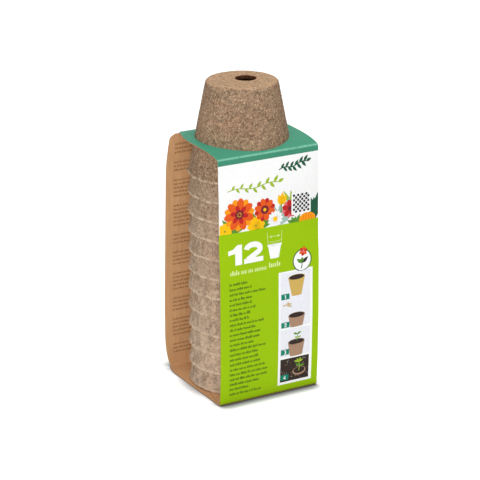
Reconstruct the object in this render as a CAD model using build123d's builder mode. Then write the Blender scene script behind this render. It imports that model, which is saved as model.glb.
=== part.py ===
from build123d import *
import os
from math import atan2, cos, sin, tan

# A pack of twelve round peat pots, nested upside down in a folded card sleeve.
# Z is the stack's axis, z = 0 is the underside of the sleeve, and the printed front faces -Y.
# All lengths are in millimetres.

# Pots, moulded from peat and wood fibre
pot_count = 12
rim_radius = 30.0
base_radius = 19.9
pot_height = 52.2
pot_wall = 1.85
pot_floor = 2.3
base_edge_round = 2.0
floor_edge_round = 1.2
rim_edge_round = 0.6
drain_radius = 5.7
drain_offset = 3.4
drain_turn = 23.0  # degrees from +X, as the pots lie in the pack

# Card sleeve, one strip of board folded to a loop that is open at both sides
side_margin = 1.4
top_panel_rise = 18.2
board = 0.45
fold_radius = 1.0
front_lean = 2.0
front_bow = 0.6
back_fold_margin = 1.15
back_belly = 3.6
belly_height = 36.0
belly_tuck = 0.45
rim_bend = 70.0
belly_bend = 250.0
glue_flap_length = 24.0
glue_flap_taper = 5.0
top_shoulder_length = 28.0
top_shoulder_inset = 7.3
low_shoulder_length = 26.0
low_shoulder_rise = 27.0
low_shoulder_inset = 4.6
back_corner_round = 3.0

# Clearances, and how far a cut runs past what it cuts
nest_clearance = 0.27
rim_clearance = 0.25
hole_clearance = 0.25
seat_clearance = 0.1
overrun = 2.0

# The pots' taper, and how far each stands above the one below it
taper = atan2(rim_radius - base_radius, pot_height)
wall_across = pot_wall / cos(taper)
nest_step = (pot_wall + nest_clearance) / sin(taper)

# The inside of a pot's floor, counted from its rim
floor_z = pot_height - pot_floor
floor_radius = rim_radius - wall_across - floor_z * tan(taper)

# Heights of the rims and of the sleeve: the lowest pot stands on the glue flap and the bottom panel,
# and the top panel lies part way up the top pot's wall
lowest_rim = 2 * board + seat_clearance
top_rim = lowest_rim + (pot_count - 1) * nest_step
sleeve_height = top_rim + top_panel_rise

# The hole that the top pot comes through, as wide as its wall at the underside of the top panel
hole_radius = rim_radius - (top_panel_rise - board) * tan(taper) + hole_clearance

# Where the sleeve's outer face lies: the rims keep the panels apart, and the folds pull them in
front_y = -(rim_radius + rim_clearance + board)
front_fold_y = front_y + front_lean
back_y = rim_radius + rim_clearance + board
back_fold_y = hole_radius + back_fold_margin
back_low_y = back_y + back_belly
half_width = rim_radius + side_margin

# Planes behind the back panel that look forward through it, one with its y up and one with it down
behind = (0, back_low_y + overrun, 0)
back_plane = Plane(origin=behind, x_dir=(1, 0, 0), z_dir=(0, -1, 0))
back_plane_down = Plane(origin=behind, x_dir=(-1, 0, 0), z_dir=(0, -1, 0))

os.makedirs("parts", exist_ok=True)


def waste_beside_arc(plane, start, end):
    """The board outside an arc that leaves the side edge at start and ends inset at end, on both sides."""
    far = end[1] + overrun
    with BuildSketch(plane) as waste:
        with BuildLine():
            TangentArc(start, end, tangent=(0, 1))
            Polyline(end, (end[0], far), (half_width + overrun, far), (half_width + overrun, start[1]), start)
        make_face()
        mirror(about=Plane.YZ)
    return waste.sketch


# The sleeve: its outline from the side is a closed loop with a bowed front and a bellied back
with BuildPart() as sleeve:
    with BuildSketch(Plane.YZ):
        with BuildLine():
            ThreePointArc((front_y, 0), (front_y - front_bow, top_rim / 2), (front_y, top_rim))
            Polyline(
                (front_y, top_rim),
                (front_fold_y, sleeve_height),
                (back_fold_y, sleeve_height),
                (back_y, top_rim),
                (back_low_y, belly_height),
                (back_low_y - belly_tuck, 0),
                (front_y, 0),
            )
        corners = make_face().vertices()
        fillet(corners.group_by(Axis.Y)[0] + corners.group_by(Axis.Y)[-1], fold_radius)
        fillet(corners.group_by(Axis.Y)[-2], rim_bend)
        fillet(corners.group_by(Axis.Y)[1], belly_bend)
        offset(amount=-board, mode=Mode.SUBTRACT)
    extrude(amount=half_width, both=True)

    # The glue flap lies on the bottom panel and narrows towards its free end
    with BuildSketch(Plane.XY.offset(board)):
        with BuildLine():
            Polyline(
                (-half_width, front_y + board),
                (half_width, front_y + board),
                (half_width - glue_flap_taper, front_y + glue_flap_length),
                (glue_flap_taper - half_width, front_y + glue_flap_length),
                close=True,
            )
        make_face()
    extrude(amount=board)

    # The round hole for the top pot
    with BuildSketch(Plane.XY.offset(sleeve_height - fold_radius)):
        Circle(hole_radius)
    extrude(amount=fold_radius + overrun, mode=Mode.SUBTRACT)

    # The top panel narrows in a curve towards the back fold, and leaves the back panel's corners free
    top_waste = waste_beside_arc(
        Plane.XY.offset(sleeve_height - fold_radius),
        (half_width, back_fold_y - top_shoulder_length),
        (half_width - top_shoulder_inset, back_fold_y),
    )
    extrude(top_waste, amount=fold_radius + overrun, mode=Mode.SUBTRACT)

    # The bottom fold is narrower too, with a shoulder in the bottom panel and one in the back panel
    bottom_waste = waste_beside_arc(
        Plane.XY.offset(-overrun),
        (half_width, back_low_y - low_shoulder_length),
        (half_width - low_shoulder_inset, back_low_y),
    )
    extrude(bottom_waste, amount=overrun + fold_radius, mode=Mode.SUBTRACT)
    low_waste = waste_beside_arc(
        back_plane_down,
        (half_width, -low_shoulder_rise),
        (half_width - low_shoulder_inset, 0),
    )
    extrude(low_waste, amount=overrun + belly_tuck + board, mode=Mode.SUBTRACT)

    # The back panel's free top corners are rounded
    corner_waste = waste_beside_arc(
        back_plane,
        (half_width, sleeve_height - fold_radius - back_corner_round),
        (half_width - back_corner_round, sleeve_height - fold_radius),
    )
    extrude(corner_waste, amount=back_y - back_fold_y + back_belly + 2 * overrun, mode=Mode.SUBTRACT)

sleeve.part.label = "sleeve"
export_step(sleeve.part, "parts/sleeve.step")


# The pots: pot_01 stands through the hole, and pot_12 is the lowest
for number in range(1, pot_count + 1):
    rim_z = top_rim - (number - 1) * nest_step

    with BuildPart() as pot:
        with BuildSketch(Plane.XZ.shift_origin((0, 0, rim_z))):
            with BuildLine():
                Polyline(
                    (0, floor_z),
                    (floor_radius, floor_z),
                    (rim_radius - wall_across, 0),
                    (rim_radius, 0),
                    (base_radius, pot_height),
                    (0, pot_height),
                    close=True,
                )
            rim_corners, floor_corners, base_corners = make_face().vertices().group_by(Axis.Y)
            fillet(rim_corners, rim_edge_round)
            fillet(floor_corners.sort_by(Axis.X)[-1], floor_edge_round)
            fillet(base_corners.sort_by(Axis.X)[-1], base_edge_round)
        revolve(axis=Axis.Z)
        with BuildSketch(Plane.XY.offset(rim_z + pot_height)):
            with PolarLocations(drain_offset, 1, start_angle=drain_turn):
                Circle(drain_radius)
        extrude(amount=-(pot_floor + overrun), mode=Mode.SUBTRACT)

    pot.part.label = f"pot_{number:02d}"
    export_step(pot.part, f"parts/pot_{number:02d}.step")
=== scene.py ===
from itertools import accumulate
from math import atan2, ceil, cos, exp, pi, radians, sin, sqrt, tan, tau
from random import Random

import bpy
import numpy as np
from mathutils import Matrix, Vector, noise
from mathutils.geometry import delaunay_2d_cdt


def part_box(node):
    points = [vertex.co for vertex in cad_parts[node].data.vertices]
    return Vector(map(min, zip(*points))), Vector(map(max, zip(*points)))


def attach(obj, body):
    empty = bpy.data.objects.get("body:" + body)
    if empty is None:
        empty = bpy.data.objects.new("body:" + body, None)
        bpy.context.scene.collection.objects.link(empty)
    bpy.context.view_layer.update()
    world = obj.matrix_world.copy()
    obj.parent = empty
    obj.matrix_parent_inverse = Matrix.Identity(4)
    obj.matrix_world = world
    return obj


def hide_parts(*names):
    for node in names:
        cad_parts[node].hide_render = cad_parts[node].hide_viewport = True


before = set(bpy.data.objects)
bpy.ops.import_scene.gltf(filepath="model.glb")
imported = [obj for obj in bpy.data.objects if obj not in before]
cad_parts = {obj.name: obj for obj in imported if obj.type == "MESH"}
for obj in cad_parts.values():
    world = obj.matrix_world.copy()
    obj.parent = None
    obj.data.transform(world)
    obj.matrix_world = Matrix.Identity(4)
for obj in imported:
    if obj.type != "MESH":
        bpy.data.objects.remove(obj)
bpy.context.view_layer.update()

# A pack of twelve peat pots in a printed card sleeve. All lengths are in metres.
MM = 0.001
up = Vector((0, 0, 1))

# Pots. Small steps are kept for what shows: the whole top pot, and a band above each other rim
pot_names = [f"pot_{number:02d}" for number in range(1, 13)]
rim_radius = 30.0 * MM
base_radius = 19.9 * MM
pot_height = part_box("pot_01")[1].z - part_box("pot_01")[0].z
pot_wall = 1.85 * MM
pot_floor = 2.3 * MM
base_edge_round = 2.0 * MM
floor_edge_round = 1.2 * MM
rim_edge_round = 0.6 * MM
drain_edge_round = 0.45 * MM
drain_radius = 5.7 * MM
drain_offset = 3.4 * MM
drain_turn = radians(23.0)
taper = atan2(rim_radius - base_radius, pot_height)
wall_across = pot_wall / cos(taper)
top_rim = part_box("pot_01")[0].z
low_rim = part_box(pot_names[-1])[0].z
fine_band = 14.0 * MM
fine_step = 0.65 * MM
coarse_step = 4 * MM
round_count = 256

# A pot's rough surface and uneven rim in millimetres: each layer of noise has a width and a depth
surface_noise = ((4, 0.055), (1.7, 0.075), (0.8, 0.05))
rim_noise = ((5, 0.6), (1.9, 0.36), (1, 0.2))
deepest, highest, inside_share = -0.3, 0.12, 0.3
lip_width, lip_depth, lip_highest = 2.4, 0.2, 0.22
rim_zone = 2.2 * MM
pale_zone = 1.2 * MM
# Least share of dust below the top pot; the share grows down the stack as painted light from below
least_dust_and_light = 0.25

# Loose fibres: how many, how high and the share on the base, on the top pot and on each other pot
top_fibres = 900, pot_height - 3 * MM, 0.12
low_fibres = 260, 12 * MM, 0.0

# Their lengths and widths in millimetres, and how a dark chip differs from a pale fibre
fibre_lengths, fibre_widths = (0.9, 3.6), (0.05, 0.13)
chip_share, chip_length, chip_width = 0.5, 0.45, 1.5
fibre_rings = 4
fibre_lift = 0.05 * MM
fibre_low = 1.2 * MM

# Card sleeve, seen from its side as y and z
sleeve_low, sleeve_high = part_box("sleeve")
half_width = sleeve_high.x
sleeve_top = sleeve_high.z
board = 0.45 * MM
fold_radius = 1.0 * MM
front_y = -30.7 * MM
front_fold_y = -28.7 * MM
back_y = 30.7 * MM
back_fold_y = 27.96 * MM
belly_height = 36.0 * MM
belly_tuck = 0.45 * MM
front_bend = 3.0
rim_bend = 0.07
belly_bend = 0.25
flap_length = 24.0 * MM
flap_taper = 5.0 * MM
flap_gap = 0.02 * MM
panel_end_step = 0.8 * MM
top_shoulder_length = 28.0 * MM
top_shoulder_inset = 7.3 * MM

# As in the photograph, low shoulders smaller than the solid's, and a back panel narrower at the top
low_shoulder_length = 11.0 * MM
low_shoulder_rise = 19.0 * MM
low_shoulder_inset = 2.8 * MM
back_curl_length = 28.0 * MM
back_curl_inset = 1.6 * MM
back_corner_round = 3.0 * MM
hole_gap = 0.05 * MM

# The top panel is pushed up beside the pot, which it meets at pot_meets millimetres from the axis
dome_rise = 2.7 * MM
dome_lean = 0.5 * MM
dome_run = 9.0 * MM
dome_back_share = 0.3
dome_from = 126 * MM
pot_meets = 26

# Waves of the used board: widths, depths, and the heights between which each rises and falls
wave_width, wave_depth, wave_from = 30 * MM, 0.12 * MM, 8 * MM
front_ease, ease_rise, ease_fall = 0.5 * MM, (2 * MM, 20 * MM), (80 * MM, 40 * MM)
edge_curl, curl_rise, curl_fall = 0.9 * MM, (75 * MM, 95 * MM), (139 * MM, 124 * MM)

# Print on the front panel, in millimetres: heights of its bands, the margin, and how far ink stands out
band_low = 138.5
lime_high = 100.2
print_margin = 0.3
ink_lift, layer_lift = 0.02, 0.012
small_mark = 1.5


def srgb(*colour):
    """A colour as it shows on a screen, 0 to 255, in Blender's linear values."""
    shares = [value / 255 for value in colour]
    return tuple(c / 12.92 if c <= 0.04045 else ((c + 0.055) / 1.055) ** 2.4 for c in shares) + (1.0,)


def share_of(value):
    return max(0.0, min(1.0, value))


class Tree:
    """A node tree, built by short calls."""

    def __init__(self, tree):
        self.tree = tree

    def fill(self, node, inputs):
        """Give a node's inputs their links or values; None leaves an input as it is."""
        for key, value in inputs.items():
            if isinstance(value, bpy.types.NodeSocket):
                self.tree.links.new(value, node.inputs[key])
            elif value is not None:
                node.inputs[key].default_value = value
        return node

    def node(self, kind, inputs, **settings):
        made = self.tree.nodes.new("ShaderNode" + kind)
        for key, value in settings.items():
            setattr(made, key, value)
        return self.fill(made, inputs)

    def math(self, operation, a, b=0.0):
        return self.node("Math", {0: a, 1: b}, operation=operation).outputs[0]

    def times(self, a, b):
        return self.math("MULTIPLY", a, b)

    def seen(self):
        """1 where the camera looks, straight, by a reflection or through glass, and 0 for light sent out."""
        path = self.node("LightPath", {}).outputs
        seen = self.math("MAXIMUM", path["Is Camera Ray"], path["Is Glossy Ray"])
        return self.math("MAXIMUM", seen, path["Is Transmission Ray"])


class Look(Tree):
    """A material's node tree. Its noise is read at place, which a node of the given kind gives."""

    def __init__(self, name, kind="TexCoord", output="Object", **settings):
        self.material = bpy.data.materials.new(name)
        self.material.use_nodes = True
        super().__init__(self.material.node_tree)
        self.shader = self.tree.nodes["Principled BSDF"]
        self.place = self.node(kind, {}, **settings).outputs[output]

    def attribute(self, name):
        return self.node("Attribute", {}, attribute_name=name).outputs["Fac"]

    def scaled(self, scale, turn=(0, 0, 0)):
        return self.node("Mapping", {"Vector": self.place, "Scale": scale, "Rotation": turn}).outputs[0]

    def noise(self, size, detail=2.0, rough=0.5, place=None, distort=0.0):
        """Noise from 0 to 1 whose lumps are about size metres wide."""
        inputs = {"Vector": place or self.place, "Scale": 0.5 / size, "Detail": detail, "Roughness": rough}
        return self.node("TexNoise", {**inputs, "Distortion": distort}).outputs["Fac"]

    def cells(self, size, place=None):
        """The distance from the middle of a cell about size wide, and three random shares for each cell."""
        made = self.node("TexVoronoi", {"Vector": place or self.place, "Scale": 1 / size})
        return made.outputs["Distance"], self.node("SeparateColor", {"Color": made.outputs["Color"]}).outputs

    def span(self, value, low, high, to_low=0.0, to_high=1.0):
        inputs = {"Value": value, "From Min": low, "From Max": high, "To Min": to_low, "To Max": to_high}
        return self.node("MapRange", inputs).outputs[0]

    def mix(self, share, a, b, blend="MIX"):
        inputs = {"Factor": share, 6: a, 7: b}
        return self.node("Mix", inputs, data_type="RGBA", blend_type=blend).outputs[2]

    def grade(self, colour, value, strength, low=0.25, high=0.75):
        """colour made darker where value is low, and lighter where it is high."""
        factor = self.span(value, low, high, 1 - strength, 1 + strength)
        grey = self.node("CombineXYZ", {"X": factor, "Y": factor, "Z": factor}).outputs[0]
        return self.mix(1.0, colour, grey, "MULTIPLY")

    def bump(self, height, depth, strength):
        return self.node("Bump", {"Height": height, "Distance": depth, "Strength": strength}).outputs[0]

    def finish(self, colour, roughness, specular, normal=None):
        inputs = {"Base Color": colour, "Roughness": roughness, "Specular IOR Level": specular}
        self.fill(self.shader, {**inputs, "Normal": normal})
        return self.material


def peat_look():
    """Moulded peat and wood fibre: paler at the rim, in dust, and down the stack as painted light; smooth on
    the base, which is paler as painted top light; painted shade inside.
    """
    look = Look("peat", "Attribute", "Vector", attribute_name="peat_place")
    mottle = look.noise(9 * MM, 3.0)
    fresh = look.mix(mottle, srgb(127, 101, 78), srgb(158, 132, 107))
    # Stacked pots are paler with dust, and paler still lower down as painted light from below
    dusty_and_lit = look.mix(mottle, srgb(170, 145, 124), srgb(198, 175, 151))
    dust_and_light = look.attribute("dust_and_light_share")
    colour = look.mix(dust_and_light, fresh, dusty_and_lit)
    flake = look.cells(2.6 * MM, look.scaled((1, 1, 0.7)))[1]
    flaked = look.grade(colour, flake[2], 0.5, 0.0, 1.0)
    reddish = look.span(look.noise(5 * MM), 0.5, 0.72)
    colour = look.mix(look.times(reddish, 0.3), colour, srgb(168, 124, 97))
    colour = look.grade(colour, look.noise(1.1 * MM, 3.0, 0.65), 0.38)
    grain = look.cells(0.7 * MM)[1]
    colour = look.grade(colour, grain[0], 0.3, 0.0, 1.0)
    strands = look.noise(0.5 * MM, 2.0, 0.5, look.scaled((1, 1, 0.3), (0.5, 0.3, 0)), 1.2)
    colour = look.mix(look.span(strands, 0.66, 0.76, 0.0, 0.3), colour, srgb(203, 178, 145))
    # Painted light from above: surfaces facing up, the pot's base, are paler, with a pressed mottle of their
    # own
    facing = look.node("SeparateXYZ", {"Vector": look.node("NewGeometry", {}).outputs["True Normal"]})
    pressed_and_lit = look.mix(look.noise(4 * MM), srgb(164, 134, 100), srgb(196, 158, 126))
    pressed_and_lit = look.grade(pressed_and_lit, look.noise(1.2 * MM, 4.0, 0.7), 0.35)
    colour = look.mix(look.span(facing.outputs["Z"], 0.6, 0.85, 0.0, 0.55), colour, pressed_and_lit)
    distance, chance = look.cells(1.0 * MM)
    speck = look.math("LESS_THAN", distance, 0.38)
    dark = look.times(speck, look.math("GREATER_THAN", chance[0], 0.8))
    light = look.times(speck, look.math("GREATER_THAN", chance[1], 0.84))
    colour = look.mix(look.times(dark, 0.72), colour, srgb(80, 57, 42))
    colour = look.mix(look.times(light, 0.55), colour, srgb(214, 192, 160))
    colour = look.mix(look.times(dust_and_light, 0.5), colour, flaked)
    ragged = look.span(look.noise(1.5 * MM, 4.0, 0.65), 0.38, 0.6, 0.05, 0.95)
    pale = look.times(look.attribute("rim_share"), ragged)
    colour = look.mix(pale, colour, srgb(214, 193, 166))
    # Painted shade: the inside of the pot and the drain hole's wall are darkened as if in shade
    painted_shade_colour = look.mix(1.0, colour, srgb(150, 112, 84), "MULTIPLY")
    colour = look.mix(look.attribute("painted_shade_share"), colour, painted_shade_colour)
    height = look.math("ADD", look.noise(0.55 * MM, 4.0, 0.6), look.times(strands, 0.6))
    return look.finish(colour, 0.92, 0.2, look.bump(height, 0.25 * MM, 0.75))


def fibre_look(name, colour, other):
    """One loose fibre or bark chip on a pot."""
    look = Look(name)
    mixed = look.mix(look.noise(1.5 * MM), colour, other)
    return look.finish(look.grade(mixed, look.noise(0.3 * MM), 0.25), 0.85, 0.3)


def kraft_look(name, darker):
    """Bare brown board with flecks that run up it."""
    look = Look(name)
    grain = look.noise(0.8 * MM, 3.0, 0.6, look.scaled((1, 1, 0.12)))
    colour = look.mix(grain, srgb(190, 143, 99), srgb(222, 174, 127))
    colour = look.grade(colour, look.noise(14 * MM), 0.1)
    flecks = look.noise(0.35 * MM, 2.0, 0.5, look.scaled((1, 1, 0.3)), 0.8)
    colour = look.mix(look.span(flecks, 0.66, 0.74, 0.0, 0.45), colour, srgb(112, 78, 50))
    colour = look.mix(1.0, colour, (darker, darker, darker, 1.0), "MULTIPLY")
    return look.finish(colour, 0.8, 0.3, look.bump(look.noise(0.4 * MM, 3.0, 0.6), 0.04 * MM, 0.6))


def ink_look(name, colour):
    """Ink on smooth board: a little mottled, with the board's grain under it."""
    look = Look(name)
    shade = look.grade(colour, look.noise(0.6 * MM, 3.0, 0.6), 0.05)
    gloss = look.span(look.noise(3 * MM), 0.3, 0.7, 0.45, 0.56)
    return look.finish(shade, gloss, 0.12, look.bump(look.noise(0.5 * MM), 0.012 * MM, 0.5))


def polar(centre, reach, angle):
    return centre[0] + reach * cos(angle), centre[1] + reach * sin(angle)


def ellipse(centre, radii, count=28, turn=0.0):
    """Points round an ellipse, in millimetres on the panel."""
    found = []
    for k in range(count):
        x, y = radii[0] * cos(tau * k / count), radii[1] * sin(tau * k / count)
        found.append((centre[0] + x * cos(turn) - y * sin(turn), centre[1] + x * sin(turn) + y * cos(turn)))
    return found


def box(low, high):
    return [low, (high[0], low[1]), high, (low[0], high[1])]


def flower(centre, radius, count, depth, steps=72):
    """A round flower as one outline, whose petals are parted by notches of depth times the radius."""
    angles = [tau * k / steps for k in range(steps)]
    reaches = [radius * (1 - depth + depth * abs(cos(count * angle / 2)) ** 0.55) for angle in angles]
    return [polar(centre, reach, angle) for reach, angle in zip(reaches, angles)]


def leaf(foot, tip, width):
    """A pointed leaf from foot to tip."""
    foot, tip, count = Vector(foot), Vector(tip), 9
    along = tip - foot
    side = Vector((-along.y, along.x)).normalized() * width / 2
    shares = [k / count for k in range(count + 1)]
    left = [foot + along * s + side * sin(pi * s ** 0.8) for s in shares]
    right = [foot + along * s - side * sin(pi * s ** 0.8) for s in reversed(shares[1:-1])]
    return left + right


def stroke(points, width):
    """A line of even width with square ends."""
    points = [Vector(p) for p in points]
    left, right = [], []
    for k, point in enumerate(points):
        before, after = points[max(k - 1, 0)], points[min(k + 1, len(points) - 1)]
        along = (after - before).normalized()
        side = Vector((-along.y, along.x)) * width / 2
        left.append(point + side)
        right.append(point - side)
    return left + right[::-1]


def arc_points(centre, radius, start, end, count=10):
    """Points on an arc, with its angles in degrees."""
    return [polar(centre, radius, radians(start + (end - start) * k / count)) for k in range(count + 1)]


def rounded_path(corners, radii, steps, turn_step=radians(9)):
    """A line whose corners are rounded: its points, their directions, and each arc's first and last row."""
    corners = [Vector(corner) for corner in corners]
    directions = [(b - a).normalized() for a, b in zip(corners, corners[1:])]
    points, heading, arcs = [corners[0]], [directions[0]], []
    for k, direction in enumerate(directions):
        last = k == len(directions) - 1
        turn = 0.0 if last else -direction.angle_signed(directions[k + 1])
        cut = 0.0 if last else radii[k] * tan(abs(turn) / 2)
        start, end = points[-1], corners[k + 1] - direction * cut
        count = max(1, ceil((end - start).length / steps[k]))
        points += [start.lerp(end, (i + 1) / count) for i in range(count)]
        heading += [direction] * count
        if last:
            continue
        first = len(points) - 1
        if cut > 0:
            centre = end + Vector((-direction.y, direction.x)) * (radii[k] if turn > 0 else -radii[k])
            count = ceil(max(abs(turn) / turn_step, abs(turn) * radii[k] / steps[k]))
            for i in range(count):
                swing = Matrix.Rotation(turn * (i + 1) / count, 2)
                points.append(centre + swing @ (end - centre))
                heading.append(swing @ direction)
        arcs.append((first, len(points) - 1))
    return points, heading, arcs


def add_object(name, data):
    made = bpy.data.objects.new(name, data)
    bpy.context.scene.collection.objects.link(made)
    return made


def object_from(name, points, faces, looks, slots=None):
    mesh = bpy.data.meshes.new(name)
    mesh.from_pydata(points, [], faces)
    for look in looks:
        mesh.materials.append(look)
    if slots:
        mesh.polygons.foreach_set("material_index", slots)
    mesh.polygons.foreach_set("use_smooth", [True] * len(mesh.polygons))
    return add_object(name, mesh)


def add_layer(mesh, name, kind, key, values):
    """One value for each vertex, which a material can read."""
    mesh.attributes.new(name, kind, "POINT").data.foreach_set(key, np.array(values, np.float32).ravel())


def pot_section(whole):
    """A pot's section from the drain hole's inner end over the base, down the wall and up inside."""
    floor_z = pot_height - pot_floor
    band_radius = rim_radius - fine_band * tan(taper)
    corners = [
        (drain_radius, floor_z),
        (drain_radius, pot_height),
        (base_radius, pot_height),
        (band_radius, fine_band),
        (rim_radius, 0),
        (rim_radius - wall_across, 0),
        (rim_radius - wall_across - floor_z * tan(taper), floor_z),
        (drain_radius, floor_z),
    ]
    radii = [drain_edge_round, base_edge_round, 0, rim_edge_round, rim_edge_round, floor_edge_round]
    outside = fine_step if whole else coarse_step
    steps = [1 * MM, outside, outside, fine_step, fine_step, coarse_step, 3 * MM]
    points, directions, arcs = rounded_path(corners, radii, steps, radians(18))
    return points[:-1], directions[:-1], arcs


def layered_noise(where, layers):
    return sum(depth * noise.noise(where / width) for width, depth in layers)


def pot_points(number):
    """A pot's vertices with its rim at z 0, shares of them for the material, and the count of its rows."""
    section, directions, arcs = pot_section(number == 1)
    points, rim_shares, painted_shade_shares = [], [], []
    offset = Vector((37.0, 11.0, 5.0)) * number

    # The base's rings move over towards the off-centre drain hole
    centred_from = base_radius - 3 * MM
    centring_run = centred_from - drain_radius
    for row, (spot, direction) in enumerate(zip(section, directions)):
        normal = Vector((-direction.y, direction.x))
        inside = row > arcs[4][1] or row < arcs[0][0]
        shift = share_of((centred_from - spot.x) / centring_run) if spot.y > pot_height / 2 else 0.0
        shift *= drain_offset
        near_rim = max(0.0, 1 - spot.y / rim_zone)
        for k in range(round_count):
            angle = tau * k / round_count
            out = Vector((cos(angle), sin(angle), 0))
            point = out * spot.x + up * spot.y
            where = point / MM + offset
            depth = layered_noise(where, surface_noise)
            depth = inside_share * depth if inside else max(deepest, min(highest, depth))
            lift = 0.0
            if near_rim > 0:
                flat = Vector((where.x, where.y, offset.z))
                lift = layered_noise(flat, rim_noise)
                lift = (abs(lift) if number == len(pot_names) else lift) * near_rim
                lip = lip_depth * near_rim * (1 + noise.noise(flat / lip_width + up * 9))
                depth = min(lip_highest, depth + (0.0 if inside else lip * share_of(normal.x)))
            spread = spot.x + (normal.x * depth - lift * sin(taper)) * MM
            height = spot.y + (normal.y * depth + lift * cos(taper)) * MM
            points.append((*polar((out.x * spread, out.y * spread), shift, drain_turn), height))
        rim_shares += [0.0 if inside else share_of(1.6 - spot.y / pale_zone)] * round_count
        # Share of painted shade: 1 inside the pot and on the drain hole's wall
        painted_shade_shares += [1.0 if inside or row < arcs[0][1] else 0.0] * round_count
    # Dust on the stacked pots; its growth towards the bottom of the stack is painted light from below
    dust_and_light = 0.0 if number == 1 else least_dust_and_light + (1 - least_dust_and_light) * number / len(pot_names)
    shares = {"rim_share": rim_shares, "painted_shade_share": painted_shade_shares, "dust_and_light_share": [dust_and_light] * len(points)}
    return points, shares, len(section)


def pot_fibres(rng, count, high, on_base):
    """Short fibres on the outside, as four-sided tubes: their vertices, faces and which are dark."""
    points, faces, dark = [], [], []
    drain = Vector(polar((0, 0), drain_offset, drain_turn))
    for _ in range(count):
        base = rng.random() < on_base
        angle, height = rng.uniform(0, tau), rng.uniform(fibre_low, high)
        reach = sqrt(rng.random()) * (base_radius - 2 * MM)
        heading, bend = rng.uniform(0, tau), rng.uniform(-0.5, 0.5)
        length, thick = rng.uniform(*fibre_lengths) * MM, rng.uniform(*fibre_widths) * MM
        is_dark = rng.random() < chip_share
        if is_dark:
            length, thick = length * chip_length, thick * chip_width
        start, (x, y) = len(points), polar((0, 0), reach, angle)
        if base and (Vector((x, y)) - drain).length < drain_radius + length:
            continue
        for i in range(fibre_rings):
            size = thick * (0.35 if i in (0, fibre_rings - 1) else 1.0)
            if base:
                normal, side = up, Vector((-sin(heading), cos(heading), 0))
                spot = Vector((x, y, pot_height + fibre_lift))
            else:
                out = Vector((cos(angle), sin(angle), 0))
                spot = out * (rim_radius - height * tan(taper) + fibre_lift) + up * height
                normal = (out * cos(taper) + up * sin(taper)).normalized()
                round_way = Vector((-sin(angle), cos(angle), 0))
                side = round_way * -sin(heading) + normal.cross(round_way) * cos(heading)
            points += [spot + side * size, spot + normal * size * 0.7]
            points += [spot - side * size, spot - normal * size]
            step = length / (fibre_rings - 1)
            heading += bend / fibre_rings
            x, y = polar((x, y), step, heading)
            angle += step * cos(heading) / rim_radius
            height = min(pot_height - 2.5 * MM, max(fibre_low, height + step * sin(heading)))
        for a in range(start, len(points) - 4, 4):
            faces += [(a + j, a + (j + 1) % 4, a + 4 + (j + 1) % 4, a + 4 + j) for j in range(4)]
        faces += [(start + 3, start + 2, start + 1, start), tuple(range(len(points) - 4, len(points)))]
        dark += [is_dark] * (len(faces) - len(dark))
    return points, faces, dark


def make_pot(number, looks):
    """One pot as a single mesh: its moulded wall and the loose fibres on it."""
    name, whole = pot_names[number - 1], number == 1
    rng = Random(100 + number)
    points, shares, rows = pot_points(number)
    faces = []
    for row in range(rows):
        a, b = row * round_count, (row + 1) % rows * round_count
        for k in range(round_count):
            after = (k + 1) % round_count
            faces.append((b + k, b + after, a + after, a + k))
    slots = [0] * len(faces)
    more, more_faces, dark = pot_fibres(rng, *(top_fibres if whole else low_fibres))
    first = len(points)
    points += more
    faces += [tuple(first + k for k in face) for face in more_faces]
    slots += [2 if is_dark else 1 for is_dark in dark]
    turn = Matrix.Rotation(0.0 if whole else rng.uniform(0, tau), 3, "Z")
    rim_z = top_rim - (top_rim - low_rim) * (number - 1) / (len(pot_names) - 1)
    placed = [turn @ Vector(p) + up * rim_z for p in points]
    pot = object_from(f"moulded_{name}", placed, faces, looks, slots)
    places = [Vector(p) + Vector((0.5, 0.3, 0.2)) * number for p in points]
    add_layer(pot.data, "peat_place", "FLOAT_VECTOR", "vector", places)
    for share, values in shares.items():
        add_layer(pot.data, share, "FLOAT", "value", values + [0.0] * len(more))
    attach(pot, name)
    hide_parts(name)


# The sleeve's outer face from its side: flap, front, top, back and bottom, one strip
strip_corners = [
    (front_y + flap_length, board + flap_gap),
    (front_y, board + flap_gap),
    (sleeve_low.y, top_rim / 2),
    (front_y, top_rim),
    (front_fold_y, sleeve_top),
    (back_fold_y, sleeve_top),
    (back_y, top_rim),
    (sleeve_high.y, belly_height),
    (sleeve_high.y - belly_tuck, 0),
    (front_y + panel_end_step, 0),
]
strip_radii = [fold_radius, front_bend, rim_bend, fold_radius]
strip_radii += [fold_radius, rim_bend, belly_bend, fold_radius]
strip_steps = [4 * MM] + [2 * MM] * 6 + [3 * MM] * 2
strip, strip_heading, strip_arcs = rounded_path(strip_corners, strip_radii, strip_steps)
strip_normals = [Vector((-d.y, d.x)) for d in strip_heading]
strip_lengths = [0.0, *accumulate((b - a).length for a, b in zip(strip, strip[1:]))]
top_from, top_to = strip_arcs[3][1], strip_arcs[4][0]
panel_from, (low_fold_from, low_fold_to) = strip_arcs[4][1], strip_arcs[7]


def inset_at(distance, length, inset):
    """How far a curved shoulder has come in, at a distance from where it leaves the straight edge."""
    radius = (length ** 2 + inset ** 2) / (2 * inset)
    distance = max(0.0, min(length, distance))
    return radius - sqrt(radius ** 2 - distance ** 2)


def smooth_share(low, high, value):
    """0 below low, 1 above high, and an even curve between them."""
    share = share_of((value - low) / (high - low))
    return share * share * (3 - 2 * share)


def dome(x, y):
    """How far the top panel is pushed up beside the pot, at a place seen from above."""
    y = max(front_fold_y, min(back_fold_y, y))
    behind_front = 1 - exp((front_fold_y - y) / dome_run)
    before_back = dome_back_share + (1 - dome_back_share) * smooth_share(0, dome_run, back_fold_y - y)
    return (dome_rise + dome_lean * x / half_width) * behind_front * before_back


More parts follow.
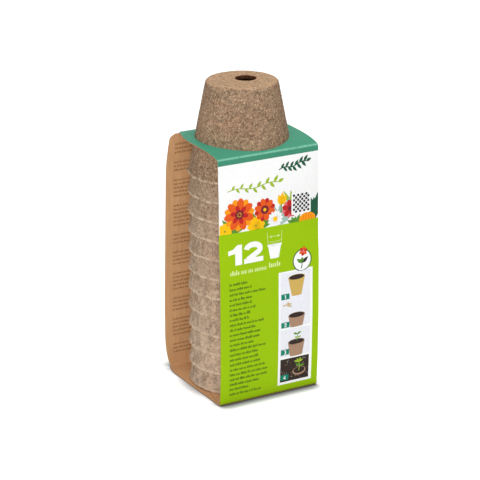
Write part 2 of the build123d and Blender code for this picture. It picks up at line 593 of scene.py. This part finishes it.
def board_point(across, spot, normal, lift=0.0):
    """A point on the sleeve's outer face as the used board lies, moved out by lift."""
    wave = 1 + noise.noise(Vector((across, spot.x, spot.y)) / wave_width)
    out = wave_depth * wave * smooth_share(0, wave_from, spot.y) + lift
    if spot.x < front_fold_y + fold_radius:
        out += front_ease * smooth_share(*ease_rise, spot.y) * smooth_share(*ease_fall, spot.y)
        curl = smooth_share(*curl_rise, spot.y) * smooth_share(*curl_fall, spot.y)
        out -= edge_curl * curl * (across / half_width) ** 4
    raised = dome(across, spot.x) * smooth_share(dome_from, sleeve_top - fold_radius, spot.y)
    return Vector((across, spot.x + normal.x * out, spot.y + normal.y * out + raised))


class Sheet:
    """Board that is being laid out: outer points with their normals and places on the strip, and faces."""

    def __init__(self):
        self.points, self.normals, self.places, self.faces, self.known = [], [], [], [], {}

    def vertex(self, point, normal, place):
        key = tuple(round(c / (0.001 * MM)) for c in point)
        if key not in self.known:
            self.known[key] = len(self.points)
            self.points.append(point)
            self.normals.append(normal)
            self.places.append(place)
        return self.known[key]

    def grid(self, rows):
        for low, high in zip(rows, rows[1:]):
            for k in range(len(low) - 1):
                face = [low[k], low[k + 1], high[k + 1], high[k]]
                self.faces.append([v for i, v in enumerate(face) if v != face[i - 1]])


def strip_row(sheet, row, places):
    """The vertices of one row of the strip at the given places across it."""
    spot, turned, length = strip[row], strip_normals[row], strip_lengths[row]
    normal = Vector((0, turned.x, turned.y))
    return [sheet.vertex(board_point(x, spot, turned), normal, (x, length)) for x in places]


def columns(reach, count):
    """Even places across the sleeve, count on each side of its middle."""
    return [reach * (k / count - 1) for k in range(2 * count + 1)]


def front_columns(row):
    flap_share = max(0.0, (strip[row].x - front_y) / flap_length) if row <= strip_arcs[0][0] else 0.0
    return columns(half_width - flap_taper * flap_share, 16)


fold_reach = half_width - top_shoulder_inset
fold_columns = columns(fold_reach, 8)


def back_columns(row):
    """Places across the back panel, the low fold and the bottom panel."""
    spot = strip[row]
    if row < low_fold_from:
        inset = inset_at(low_shoulder_rise - spot.y, low_shoulder_rise, low_shoulder_inset)
        below_top = strip[panel_from].y - spot.y
        corner = back_corner_round - max(0.0, min(back_corner_round, below_top))
        inset += back_corner_round - sqrt(back_corner_round ** 2 - corner ** 2)
        near_top = max(0.0, back_curl_length - below_top) / back_curl_length
        inset += back_curl_inset * near_top ** 2
    elif row <= low_fold_to:
        inset = low_shoulder_inset
    else:
        start = strip[low_fold_to].x - low_shoulder_length
        inset = inset_at(spot.x - start, low_shoulder_length, low_shoulder_inset)
    reach = half_width - inset
    outer = [fold_reach + (reach - fold_reach) * k / 4 for k in range(1, 5)]
    return [-x for x in reversed(outer)] + fold_columns + outer


def top_panel(sheet):
    """The top panel as rings from its outline to the round hole, raised where the pot pushes through."""
    near, far = strip[top_from].x, strip[top_to].x
    shoulder_from = back_fold_y - top_shoulder_length
    side, side_count, rings = [], 26, 7
    for k in range(1, side_count):
        y = near + (far - near) * k / side_count
        side.append((half_width - inset_at(y - shoulder_from, top_shoulder_length, top_shoulder_inset), y))
    outline = [(x, near) for x in front_columns(top_from)] + side
    outline += [(-x, far) for x in fold_columns] + [(-x, y) for x, y in reversed(side)]
    for ring in range(rings + 1):
        row = []
        for x, y in outline:
            way = Vector((x, y)).normalized()
            edge_height = sleeve_top - board + dome(way.x * pot_meets * MM, way.y * pot_meets * MM)
            end = way * (rim_radius - (edge_height - top_rim) * tan(taper) + hole_gap)
            spot = Vector((x, y)).lerp(end, ring / rings)
            point = board_point(spot.x, Vector((spot.y, sleeve_top)), Vector((0, 1)))
            place = (spot.x, strip_lengths[top_from] + spot.y - near)
            row.append(sheet.vertex(point, up, place))
        row.append(row[0])
        if ring:
            sheet.grid([before, row])
        before = row


def make_sleeve(looks):
    """The folded board: outer face, inner face and cut edges as one closed mesh."""
    sheet = Sheet()
    sheet.grid([strip_row(sheet, row, front_columns(row)) for row in range(top_from + 1)])
    sheet.grid([strip_row(sheet, row, fold_columns) for row in range(top_to, panel_from + 1)])
    sheet.grid([strip_row(sheet, row, back_columns(row)) for row in range(panel_from, len(strip))])
    top_panel(sheet)
    count = len(sheet.points)
    points = sheet.points + [p - n * board for p, n in zip(sheet.points, sheet.normals)]
    outer = [face for face in sheet.faces if len(face) > 2]
    inner = [[v + count for v in reversed(face)] for face in outer]
    edges = dict.fromkeys((a, b) for face in outer for a, b in zip(face, face[1:] + face[:1]))
    walls = [[b, a, a + count, b + count] for a, b in edges if (b, a) not in edges]
    faces = outer + inner + walls
    slots = [0] * len(outer) + [1] * len(inner) + [2] * len(walls)
    sleeve = object_from("card_sleeve", points, faces, looks, slots)
    sleeve.data.set_sharp_from_angle(angle=radians(40))
    layer = sleeve.data.uv_layers.new(name="strip")
    for corner, loop in zip(layer.data, sleeve.data.loops):
        corner.uv = sheet.places[loop.vertex_index % count]
    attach(sleeve, "sleeve")
    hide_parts("sleeve")


def length_at(z, rows):
    """The strip's length where it passes height z millimetres, among these rows."""
    heights, lengths = zip(*sorted((strip[row].y, strip_lengths[row]) for row in rows))
    return float(np.interp(z * MM, heights, lengths))


class Panel:
    """One upright panel's face, on which places are given by u from the left edge and z."""

    def __init__(self, rows, inside):
        rows = sorted(rows, key=lambda row: strip[row].y)
        self.heights = [strip[row].y for row in rows]
        self.columns = list(zip(*((strip[row].x, *strip_normals[row]) for row in rows)))
        self.inside = inside

    def point(self, u, z, lift):
        y, *normal = (float(np.interp(z, self.heights, column)) for column in self.columns)
        out = -board - lift if self.inside else lift
        return board_point(u - half_width, Vector((y, z)), Vector(normal), out)


front_rows = range(strip_arcs[0][1], strip_arcs[3][0] + 1)
back_rows = range(panel_from, low_fold_from + 1)


def board_print_look():
    """The sleeve's outside: a green top, white and lime on the front, lime on the back, and a painted
    highlight along the top folds.
    """
    look = Look("printed_board")
    places = look.node("SeparateXYZ", {"Vector": look.node("UVMap", {}, uv_map="strip").outputs[0]})
    wobble = look.span(look.noise(0.5 * MM), 0.3, 0.7, -0.04 * MM, 0.04 * MM)
    length = look.math("ADD", places.outputs["Y"], wobble)
    lime, green = srgb(152, 192, 14), srgb(66, 138, 112)
    white = srgb(240, 241, 240)
    colour = lime
    changes = ((white, lime_high, front_rows), (green, band_low, front_rows), (lime, band_low, back_rows))
    for above, z, rows in changes:
        colour = look.mix(look.math("GREATER_THAN", length, length_at(z, rows)), colour, above)
    colour = look.grade(colour, look.noise(0.6 * MM, 3.0, 0.6), 0.035)
    # Painted highlight along the two top folds, broken by noise like worn ink
    for first, last in strip_arcs[3:5]:
        middle = (strip_lengths[first] + strip_lengths[last]) / 2
        distance = look.math("ABSOLUTE", look.math("SUBTRACT", length, middle))
        fold_highlight = look.span(distance, 0.1 * MM, 0.75 * MM, 1.0, 0.0)
        broken = look.span(look.noise(1.2 * MM, 3.0, 0.6), 0.3, 0.55, 0.35, 1.0)
        share = look.times(look.times(fold_highlight, broken), 0.55)
        colour = look.mix(share, colour, srgb(150, 206, 182))
    gloss = look.span(look.noise(3 * MM), 0.3, 0.7, 0.38, 0.5)
    return look.finish(colour, gloss, 0.05, look.bump(look.noise(0.5 * MM), 0.012 * MM, 0.5))


def clipped(outline, axis, limit, side=1):
    """The part of an outline that lies past a limit along an axis, or short of it where side is -1."""
    found = []
    for a, b in zip(outline, outline[1:] + outline[:1]):
        if side * (a[axis] - limit) >= 0:
            found.append(a)
        if (a[axis] >= limit) != (b[axis] >= limit):
            share = (limit - a[axis]) / (b[axis] - a[axis])
            found.append((a[0] + share * (b[0] - a[0]), a[1] + share * (b[1] - a[1])))
    return found


def goes_round(outline, point):
    """Whether the outline winds round the point."""
    turns = 0
    for a, b in zip(outline, outline[1:] + outline[:1]):
        if (a[1] <= point[1]) != (b[1] <= point[1]):
            side = (b[0] - a[0]) * (point[1] - a[1]) - (point[0] - a[0]) * (b[1] - a[1])
            if (side > 0) == (b[1] > a[1]):
                turns += 1 if b[1] > a[1] else -1
    return turns != 0


def filled(outline, longest=3.0):
    """Points and triangles that fill an outline in millimetres."""
    points = []
    for a, b in zip(outline, outline[1:] + outline[:1]):
        a, b = Vector(a), Vector(b)
        count = max(1, ceil((b - a).length / longest))
        points += [a.lerp(b, k / count) for k in range(count)]
    edges = [(k, (k + 1) % len(points)) for k in range(len(points))]
    inner = [np.arange(min(c) + longest / 2, max(c), longest) for c in zip(*points)]
    points += [Vector((x, y)) for x in inner[0] for y in inner[1]]
    spots, _, triangles, *_ = delaunay_2d_cdt(points, edges, [], 0, 1e-4)
    middles = [sum((spots[v] for v in triangle), Vector((0, 0))) / 3 for triangle in triangles]
    return spots, [found for found, middle in zip(triangles, middles) if goes_round(outline, middle)]


class Print:
    """What is printed on one panel, gathered by ink as shapes in millimetres, each in a layer."""

    def __init__(self, panel, seed):
        self.panel, self.rng = panel, Random(seed)
        self.shapes, self.low = {}, 0.0

    def add(self, ink, layer, outline):
        """Put a shape on the page, without its parts below low or beside the margins."""
        edges = print_margin, 2 * half_width / MM - print_margin
        outline = clipped(clipped(clipped(outline, 1, self.low), 0, edges[0]), 0, edges[1], -1)
        if len(outline) > 2:
            self.shapes.setdefault(ink, []).append((layer, outline))

    def make(self, prefix, looks):
        for ink, shapes in self.shapes.items():
            points, faces = [], []
            for layer, outline in shapes:
                first = len(points)
                if len(outline) == 4 and abs(outline[2][0] - outline[0][0]) < small_mark:
                    spots = [Vector(p) for p in outline]
                    turns_left = (spots[2] - spots[0]).cross(spots[3] - spots[1]) > 0
                    found = [(0, 1, 2, 3) if turns_left else (3, 2, 1, 0)]
                else:
                    spots, found = filled(outline)
                lift = (ink_lift + layer_lift * layer) * MM
                points += [self.panel.point(p[0] * MM, p[1] * MM, lift) for p in spots]
                faces += [[first + v for v in face] for face in found]
            used = sorted({v for face in faces for v in face})
            new = {v: k for k, v in enumerate(used)}
            faces = [[new[v] for v in face] for face in faces]
            piece = object_from(prefix + ink, [points[v] for v in used], faces, [looks[ink]])
            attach(piece, "sleeve")


# The print's colours, as they show on a screen
ink_colours = {
    "white": (244, 245, 245),
    "lime": (152, 180, 48),
    "leaf_green": (88, 140, 48),
    "deep_green": (30, 84, 58),
    "grey_green": (160, 186, 176),
    "orange": (244, 152, 24),
    "flame": (224, 88, 28),
    "red": (186, 36, 36),
    "maroon": (112, 34, 44),
    "yellow": (250, 192, 18),
    "pink": (220, 108, 116),
    "black": (34, 30, 34),
    "soil": (48, 36, 32),
    "tan": (204, 170, 92),
    "clay": (166, 132, 108),
    "picture": (230, 231, 238),
    "square": (16, 126, 102),
    "text": (62, 92, 18),
    "pale_line": (214, 232, 150),
    "brown_text": (148, 106, 66),
}


def petals(page, inks, layer, centre, reach, count, width, turn, foot):
    """A ring of rounded petals, in turn in each ink of inks."""
    for k in range(count):
        angle = turn + tau * k / count
        spot = polar(centre, (reach + foot) / 2, angle)
        petal = ellipse(spot, ((reach - foot) / 2, width / 2), 20, angle)
        page.add(inks[k % len(inks)], layer + k % len(inks), petal)


def leaves(page, ink, layer, foot, spread, length, width):
    """Pointed leaves that fan out from foot, at the angles of spread in degrees."""
    for k, angle in enumerate(spread):
        reach = length * (1 - 0.12 * (k % 3))
        page.add(ink, layer, leaf(foot, polar(foot, reach, radians(angle)), width))


def sprig(page, ink, start, end, wave, lengths, thick):
    """A wavy stem with leaves on both sides in turn; lengths are a leaf's at its start and at its end."""
    count, (u, z) = 24, start
    shares = [k / count for k in range(count + 1)]
    stem = [(u + (end[0] - u) * s, z + (end[1] - z) * s + wave * sin(3 * pi * s)) for s in shares]
    page.add(ink, 1, stroke(stem, thick))
    for k in range(2, count, 2):
        length = lengths[0] + (lengths[1] - lengths[0]) * k / count
        tip = polar(stem[k], length, radians(52 if k % 4 else -48))
        page.add(ink, 1, leaf(stem[k], tip, 0.42 * length))
    last = (end[0] + 0.8 * lengths[1], end[1] + 0.3 * lengths[1])
    page.add(ink, 1, leaf(stem[-1], last, 0.4 * lengths[1]))


def dashes(page, ink, start, z, length, size):
    """Small upright dashes in groups along a line, as even as small print."""
    u = start
    while u < start + length:
        for _ in range(page.rng.randint(2, 7)):
            wide = size * page.rng.uniform(0.3, 0.5)
            high = size * page.rng.choice((1.0, 1.0, 1.0, 1.45))
            page.add(ink, 1, box((u, z), (u + wide, z + high)))
            u += wide + 0.2 * size
        u += 0.45 * size


# Plain digits as strokes in a box 1 high
digit_strokes = {
    1: [(0.1, 0.72), (0.34, 0.92), (0.34, 0.0)],
    2: arc_points((0.3, 0.68), 0.24, 165, -35) + [(0.08, 0.09), (0.58, 0.09)],
    3: arc_points((0.28, 0.72), 0.2, 140, -75, 8) + arc_points((0.28, 0.28), 0.24, 75, -140, 8),
    4: [(0.46, 0.0), (0.46, 0.92), (0.06, 0.3), (0.64, 0.3)],
}


def cup(middle, low, high, low_half, high_half):
    """An upright pot from its side, with a slightly rounded foot."""
    turns = (-1.2, -0.6, 0.0, 0.6, 1.2)
    foot = [(middle + low_half * sin(a), low - 0.12 * low_half * cos(a)) for a in turns]
    return foot + [(middle + high_half, high), (middle - high_half, high)]


def print_flowers(page):
    """A garden row of plain flowers and leaves above the lime field."""
    page.low = lime_high
    leaves(page, "leaf_green", 0, (9, 100), (155, 130, 100, 60, 35), 13, 3.4)
    leaves(page, "leaf_green", 0, (24, 100), (140, 112, 88, 50, 25), 14, 3.2)
    leaves(page, "grey_green", 0, (37, 100), (128, 108, 86, 66, 40), 17, 3.6)
    leaves(page, "deep_green", 0, (59.6, 99), (118, 102, 90, 78), 18, 5.4)
    leaves(page, "lime", 0, (46, 108), (118, 98, 80), 13, 2.6)
    leaves(page, "leaf_green", 5, (47.5, 99), (150, 120, 92, 62, 30), 6.2, 2.4)
    petals(page, ("yellow",), 1, (3.4, 102.0), 4.6, 9, 3.0, 0.2, 0.5)
    petals(page, ("yellow",), 1, (22.5, 102.4), 5.6, 10, 3.2, 0.1, 0.5)
    largest, second, daisy = (12.2, 110.2), (28.0, 110.6), (34.6, 104.2)
    tulip, last = (38.6, 111.6), (44.0, 108.6)
    petals(page, ("orange", "flame"), 2, largest, 9.3, 14, 4.4, 0.12, 2.0)
    petals(page, ("flame", "red"), 4, largest, 5.6, 12, 2.6, 0.3, 1.2)
    page.add("maroon", 6, flower(largest, 2.7, 12, 0.16))
    petals(page, ("yellow",), 7, largest, 1.5, 7, 0.42, 0.0, 0.7)
    petals(page, ("red", "flame"), 2, second, 6.6, 12, 3.4, 0.25, 1.4)
    page.add("maroon", 4, flower(second, 2.6, 10, 0.2))
    page.add("yellow", 5, flower(second, 1.0, 8, 0.25))
    petals(page, ("white",), 3, daisy, 4.9, 13, 1.9, 0.1, 1.0)
    page.add("yellow", 4, flower(daisy, 1.5, 9, 0.2))
    for lean, reach in ((108, 6.4), (84, 7.4), (62, 6.2)):
        page.add("yellow", 2, leaf(tulip, polar(tulip, reach, radians(lean)), 3.4))
    page.add("leaf_green", 1, stroke([(38.6, 112.4), (38.2, 106.5), (37.2, 100.3)], 0.7))
    petals(page, ("pink", "red"), 1, last, 5.2, 11, 3.0, 0.0, 1.0)
    page.add("maroon", 4, flower(last, 1.5, 8, 0.2))
    page.add("orange", 6, ellipse((55.2, 101.2), (5.4, 3.4), 32))
    for offset in (-3.0, -1.1, 1.1, 3.0):
        rib = [(55.2 + 0.7 * offset, 104.1 - 0.1 * offset ** 2), (55.2 + offset, 100.4)]
        page.add("flame", 7, stroke(rib, 0.32))
    page.low = 0.0


def print_tile(page):
    """A white tile with a regular chequered pattern."""
    low, size, edge, count = (44.9, 104.6), 12.5, 0.9, 8
    page.add("white", 8, box(low, (low[0] + size, low[1] + size)))
    cell = (size - 2 * edge) / count
    for row in range(count):
        for column in range(count):
            foot = (low[0] + edge + cell * column, low[1] + edge + cell * row)
            if (row + column) % 2:
                page.add("black", 9, box(foot, (foot[0] + cell, foot[1] + cell)))
            else:
                middle = (foot[0] + cell / 2, foot[1] + cell / 2)
                page.add("black", 9, ellipse(middle, (0.2 * cell, 0.2 * cell), 4))


def print_count(page):
    """The plain number 12, and a small drawing of a pot below an outlined one."""
    one = [(9.5, 81.6), (13.7, 81.6), (13.7, 93.1), (10.8, 93.1)]
    page.add("white", 1, one + [(8.4, 91.0), (5.3, 90.3), (5.3, 87.7), (9.5, 88.4)])
    turns = [radians(172 - 11 * k) for k in range(20)]
    bowl = [(20.7 + 4.35 * cos(a), 89.2 + 2.75 * sin(a)) for a in turns]
    page.add("white", 1, stroke(bowl + [(17.0, 83.5)], 3.2))
    page.add("white", 2, box((15.0, 81.6), (27.0, 84.4)))
    page.add("white", 1, cup(34.2, 81.9, 89.6, 2.9, 4.2))
    page.add("white", 1, box((29.7, 89.0), (38.7, 90.0)))
    lines = [([(34.2 + side * 4.2, 90.6), (34.2 + side * 4.7, 97.0)], 0.3) for side in (-1, 1)]
    lines += [([(30.4, 91.6), (34.2, 91.0), (38.0, 91.6)], 0.3), ([(31.4, 94.4), (37.0, 94.4)], 0.34)]
    for line, width in lines:
        page.add("pale_line", 1, stroke(line, width))
    for side in (-1, 1):
        tip, base = 34.2 + side * 3.4, 34.2 + side * 2.0
        page.add("pale_line", 1, [(tip, 94.4), (base, 93.6), (base, 95.2)])


def print_seal(page):
    """A round seal with a leaf pair and a red flower."""
    centre = (51.9, 77.4)
    page.add("deep_green", 2, ellipse(centre, (6.1, 6.5), 48))
    page.add("white", 3, ellipse(centre, (5.5, 5.9), 48))
    foot = (centre[0], centre[1] - 1.6)
    for ink, lean, reach in (("black", 38, 5.0), ("leaf_green", 142, 4.4), ("leaf_green", 90, 3.4)):
        page.add(ink, 4, leaf(foot, polar(foot, reach, radians(lean)), 2.1))
    page.add("deep_green", 4, stroke([(51.9, 75.9), (51.8, 74.2), (51.3, 72.6)], 0.55))
    bloom = (52.6, 82.4)
    petals(page, ("red", "flame"), 5, bloom, 2.7, 6, 1.9, 0.3, 0.2)
    page.add("pink", 7, ellipse(bloom, (0.8, 0.8), 14))


def print_steps(page):
    """A white column with four small pictures of pots and seedlings, and their plain numbers."""
    rng = page.rng
    page.add("white", 1, box((36.8, 4.7), (58.7, 72.4)))
    page.add("picture", 2, box((38.0, 39.0), (57.4, 71.4)))
    page.add("picture", 2, box((38.0, 21.4), (57.4, 37.9)))
    page.add("soil", 2, box((38.3, 6.2), (56.9, 20.2)))
    for top, foot, ink in ((68.0, 57.4, "tan"), (45.6, 39.0, "clay"), (29.6, 21.4, "clay")):
        narrow = 3.3 if top > 60 else 4.3
        page.add(ink, 3, cup(48.4, foot + 0.1, top, narrow, 5.4))
        page.add(ink, 3, ellipse((48.4, top), (5.4, 1.75), 30))
        page.add("soil", 4, ellipse((48.4, top + 0.1), (5.0, 1.45), 30))
    for _ in range(34):
        share = rng.random()
        spot = (39.6 + 5.4 * share, 52.6 + rng.uniform(-1, 1) * (0.3 + 1.2 * share))
        page.add("tan", 3, ellipse(spot, (0.42, 0.24), 8, rng.uniform(0, pi)))
    page.add("leaf_green", 5, stroke([(49.0, 30.0), (49.3, 32.4), (48.9, 34.2)], 0.4))
    leaves(page, "leaf_green", 5, (48.9, 34.0), (25, 155), 3.0, 1.3)
    leaves(page, "lime", 5, (49.2, 32.0), (10, 165), 2.4, 1.0)
    page.add("clay", 3, ellipse((50.6, 11.4), (4.3, 2.6), 30))
    page.add("soil", 4, ellipse((50.6, 11.8), (3.6, 2.0), 30))
    page.add("lime", 5, stroke([(50.4, 11.4), (50.9, 14.6), (50.2, 17.2)], 0.45))
    leaves(page, "lime", 5, (50.2, 17.0), (20, 60, 120, 160), 3.2, 1.3)
    leaves(page, "leaf_green", 5, (50.8, 14.4), (5, 150), 3.4, 1.4)
    for k in range(40):
        spot = (rng.uniform(39, 56.4), rng.uniform(6.8, 19.4))
        crumb = ellipse(spot, (0.3, 0.2), 6, rng.uniform(0, pi))
        page.add("clay" if k % 3 else "grey_green", 3, crumb)
    for number, middle in ((1, 57.6), (2, 40.8), (3, 24.4), (4, 8.9)):
        page.add("square", 6, box((38.5, middle - 1.65), (43.8, middle + 1.65)))
        strokes = [(40.3 + 2.6 * x, middle - 1.2 + 2.4 * y) for x, y in digit_strokes[number]]
        page.add("white", 7, stroke(strokes, 0.5))


def print_front(looks):
    page = Print(Panel(front_rows, False), 41)
    sprig(page, "lime", (5.2, 124.0), (36.6, 125.0), 0.7, (3.0, 4.6), 0.5)
    sprig(page, "deep_green", (37.4, 131.4), (54.8, 133.8), 0.6, (3.4, 4.2), 0.6)
    print_flowers(page)
    print_tile(page)
    print_count(page)
    dashes(page, "pale_line", 6.3, 76.0, 21.0, 1.9)
    dashes(page, "pale_line", 30.6, 76.6, 8.4, 2.1)
    top, line_step, line_count = 70.2, 2.95, 23
    for line in range(line_count):
        dashes(page, "text", 5.7, top - line_step * line, page.rng.uniform(9.5, 22.5), 1.05)
    print_seal(page)
    print_steps(page)
    page.make("print_", looks)


def print_inside(looks):
    """Paragraphs of small dashes on the brown side of the back panel, from the top down."""
    page = Print(Panel(back_rows, True), 43)
    z, line_step, block_gap = 134.5, 2.35, 3.6
    while z > 8:
        for line in range(page.rng.randint(3, 6)):
            if z > 6:
                length = page.rng.uniform(12, 40) if line == 3 else 53.0
                dashes(page, "brown_text", 5.0, z, length, 0.85)
            z -= line_step
        z -= block_gap
    page.make("inside_", looks)


# Stage: floor and backdrop, two lamps as place, aim, width in metres and power in watts, and camera
white = (1.0, 1.0, 1.0, 1.0)
floor_colour = srgb(244, 244, 244)
floor_bounce = srgb(236, 236, 236)
floor_reach, floor_drop = 3.0, 0.05 * MM
lit_reach, lit_glow = 0.3, 0.46
dim_reach, dim_glow = 1.2, 0.8
# Painted contact shade on the floor: how far it reaches and how sharply it falls off
contact_reach, contact_power = 9 * MM, 3.2
fill_strength = 0.33
key_lamp = (-0.85, -0.95, 0.55), (0, 0, 0.08), 1.0, 10.4
top_lamp = (0.1, -0.15, 1.4), (0, 0, 0.09), 0.8, 13.0


def make_floor():
    """A white floor that keeps the pack's shadow, with painted shade from ambient occlusion close to the
    pack, and white far away.
    """
    look = Look("floor")
    seen = look.seen()
    # Painted shade: ambient occlusion darkens the floor's colour and glow close to the pack
    near = look.node("AmbientOcclusion", {"Distance": contact_reach})
    open_share = look.math("POWER", near.outputs["AO"], contact_power)
    colour = look.mix(open_share, (0.0, 0.0, 0.0, 1.0), look.mix(seen, floor_bounce, floor_colour))
    look.finish(colour, 0.9, 0.0)
    away = look.node("VectorMath", {0: look.place}, operation="LENGTH").outputs["Value"]
    glow = look.span(away, lit_reach, dim_reach, lit_glow, dim_glow)
    glow = look.times(glow, look.times(seen, open_share))
    look.fill(look.shader, {"Emission Color": white, "Emission Strength": glow})
    corners = [(x * floor_reach, y * floor_reach, -floor_drop) for x, y in box((-1, -1), (1, 1))]
    floor = object_from("floor", corners, [(0, 1, 2, 3)], [look.material])


def make_world():
    """Even white light, with a plain white background."""
    world = bpy.data.worlds.new("studio")
    world.use_nodes = True
    world.node_tree.nodes.clear()
    bpy.context.scene.world = world
    sky = Tree(world.node_tree)
    light = sky.node("Background", {"Color": white, "Strength": fill_strength}).outputs[0]
    backdrop = sky.node("Background", {"Color": white}).outputs[0]
    both = sky.node("MixShader", {0: sky.seen(), 1: light, 2: backdrop}).outputs[0]
    sky.node("OutputWorld", {"Surface": both})


def make_lamp(name, place, aim, size, power):
    lamp = bpy.data.lights.new(name, "AREA")
    lamp.shape = "DISK"
    lamp.size = size
    lamp.energy = power
    holder = add_object(name, lamp)
    holder.location = place
    holder.rotation_euler = (Vector(aim) - Vector(place)).to_track_quat("-Z", "Y").to_euler()


def make_camera():
    """The photograph's view, as fitted to the rims and the sleeve's corners."""
    picture_px, focal_px = 480, 2004.0
    yaw, pitch = radians(29.71), radians(19.46)
    distance = 1.0851
    aim = Vector((-18.32 * MM, -30.0 * MM, 95.45 * MM))
    forward = Vector((sin(yaw) * cos(pitch), cos(yaw) * cos(pitch), -sin(pitch)))
    camera = bpy.data.cameras.new("camera")
    camera.sensor_width = 36
    camera.lens = camera.sensor_width * focal_px / picture_px
    camera.clip_start, camera.clip_end = 0.05, 50
    holder = add_object("camera", camera)
    holder.location = aim - forward * distance
    holder.rotation_euler = forward.to_track_quat("-Z", "Y").to_euler()
    bpy.context.scene.camera = holder


pot_looks = [
    peat_look(),
    fibre_look("pale_fibre", srgb(182, 156, 124), srgb(204, 182, 150)),
    fibre_look("dark_fibre", srgb(92, 66, 48), srgb(126, 92, 66)),
]
for number in range(1, len(pot_names) + 1):
    make_pot(number, pot_looks)
inks = {name: ink_look("ink_" + name, srgb(*colour)) for name, colour in ink_colours.items()}
make_sleeve([board_print_look(), kraft_look("bare_board", 1.0), kraft_look("board_edge", 0.62)])
print_front(inks)
print_inside(inks)
make_floor()
make_world()
make_lamp("key", *key_lamp)
make_lamp("top", *top_lamp)
make_camera()
bpy.context.scene.view_settings.view_transform = "Standard"
